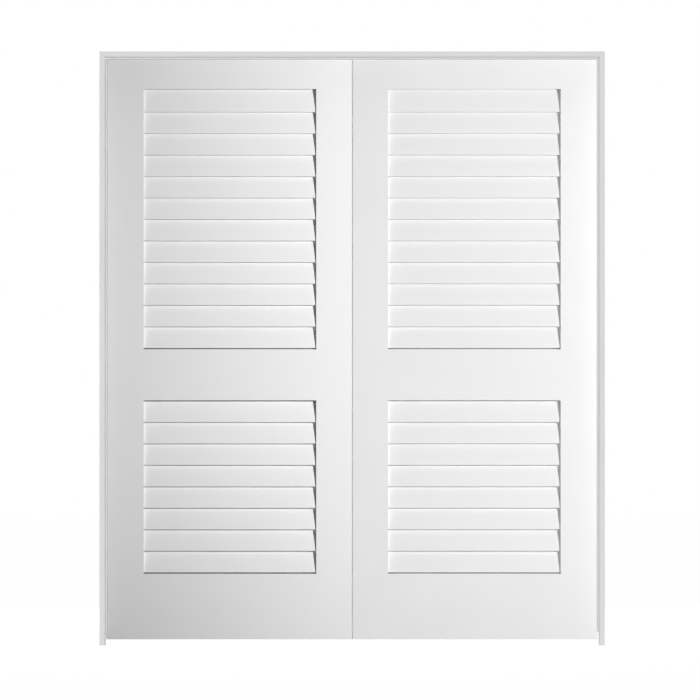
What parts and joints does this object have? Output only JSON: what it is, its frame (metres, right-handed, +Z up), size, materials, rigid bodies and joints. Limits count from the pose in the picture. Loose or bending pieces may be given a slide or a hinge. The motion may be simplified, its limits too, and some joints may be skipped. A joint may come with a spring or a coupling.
{
  "type": "louvered prehung double door",
  "caption": "Pair of louvered swing doors hung on butt hinges in their own jamb set with stops, ready to set in a wall opening.",
  "frame": {"origin": "on the floor line, midway between the side jambs and midway through the jamb depth", "axes": "+Z up, +Y towards the side the leaves swing to, +X to the right seen from the push side"},
  "size_m": [1.764, 0.129, 2.073],
  "materials": {
    "leaf_paint": "white paint, satin",
    "slat_paint": "white paint, satin",
    "frame_primer": "light grey primer, matte",
    "hinge_metal": "satin nickel"
  },
  "bodies": {
    "frame": {"left_jamb": "frame_primer", "right_jamb": "frame_primer", "head_jamb": "frame_primer", "left_stop": "frame_primer", "right_stop": "frame_primer", "head_stop": "frame_primer", "frame_hinge_plates": "hinge_metal", "hinge_pins": "hinge_metal"},
    "left_leaf": {"left_hinge_stile": "leaf_paint", "left_meeting_stile": "leaf_paint", "left_top_rail": "leaf_paint", "left_mid_rail": "leaf_paint", "left_bottom_rail": "leaf_paint", "left_lower_slat_01": "slat_paint", "left_lower_slat_02": "slat_paint", "left_lower_slat_03": "slat_paint", "left_lower_slat_04": "slat_paint", "left_lower_slat_05": "slat_paint", "left_lower_slat_06": "slat_paint", "left_lower_slat_07": "slat_paint", "left_lower_slat_08": "slat_paint", "left_upper_slat_01": "slat_paint", "left_upper_slat_02": "slat_paint", "left_upper_slat_03": "slat_paint", "left_upper_slat_04": "slat_paint", "left_upper_slat_05": "slat_paint", "left_upper_slat_06": "slat_paint", "left_upper_slat_07": "slat_paint", "left_upper_slat_08": "slat_paint", "left_upper_slat_09": "slat_paint", "left_upper_slat_10": "slat_paint", "left_upper_slat_11": "slat_paint", "left_upper_slat_12": "slat_paint", "left_door_hinge_plates": "hinge_metal"},
    "right_leaf": {"right_hinge_stile": "leaf_paint", "right_meeting_stile": "leaf_paint", "right_top_rail": "leaf_paint", "right_mid_rail": "leaf_paint", "right_bottom_rail": "leaf_paint", "right_lower_slat_01": "slat_paint", "right_lower_slat_02": "slat_paint", "right_lower_slat_03": "slat_paint", "right_lower_slat_04": "slat_paint", "right_lower_slat_05": "slat_paint", "right_lower_slat_06": "slat_paint", "right_lower_slat_07": "slat_paint", "right_lower_slat_08": "slat_paint", "right_upper_slat_01": "slat_paint", "right_upper_slat_02": "slat_paint", "right_upper_slat_03": "slat_paint", "right_upper_slat_04": "slat_paint", "right_upper_slat_05": "slat_paint", "right_upper_slat_06": "slat_paint", "right_upper_slat_07": "slat_paint", "right_upper_slat_08": "slat_paint", "right_upper_slat_09": "slat_paint", "right_upper_slat_10": "slat_paint", "right_upper_slat_11": "slat_paint", "right_upper_slat_12": "slat_paint", "right_door_hinge_plates": "hinge_metal"}
  },
  "joints": [
    {"name": "left_leaf_swing", "type": "hinge", "parent": "frame", "child": "left_leaf", "pos_m": [-0.8615, 0.06465, 1], "axis": [0, 0, 1], "range_deg": [0, 170]},
    {"name": "right_leaf_swing", "type": "hinge", "parent": "frame", "child": "right_leaf", "pos_m": [0.8615, 0.06465, 1], "axis": [0, 0, -1], "range_deg": [0, 170]}
  ]
}
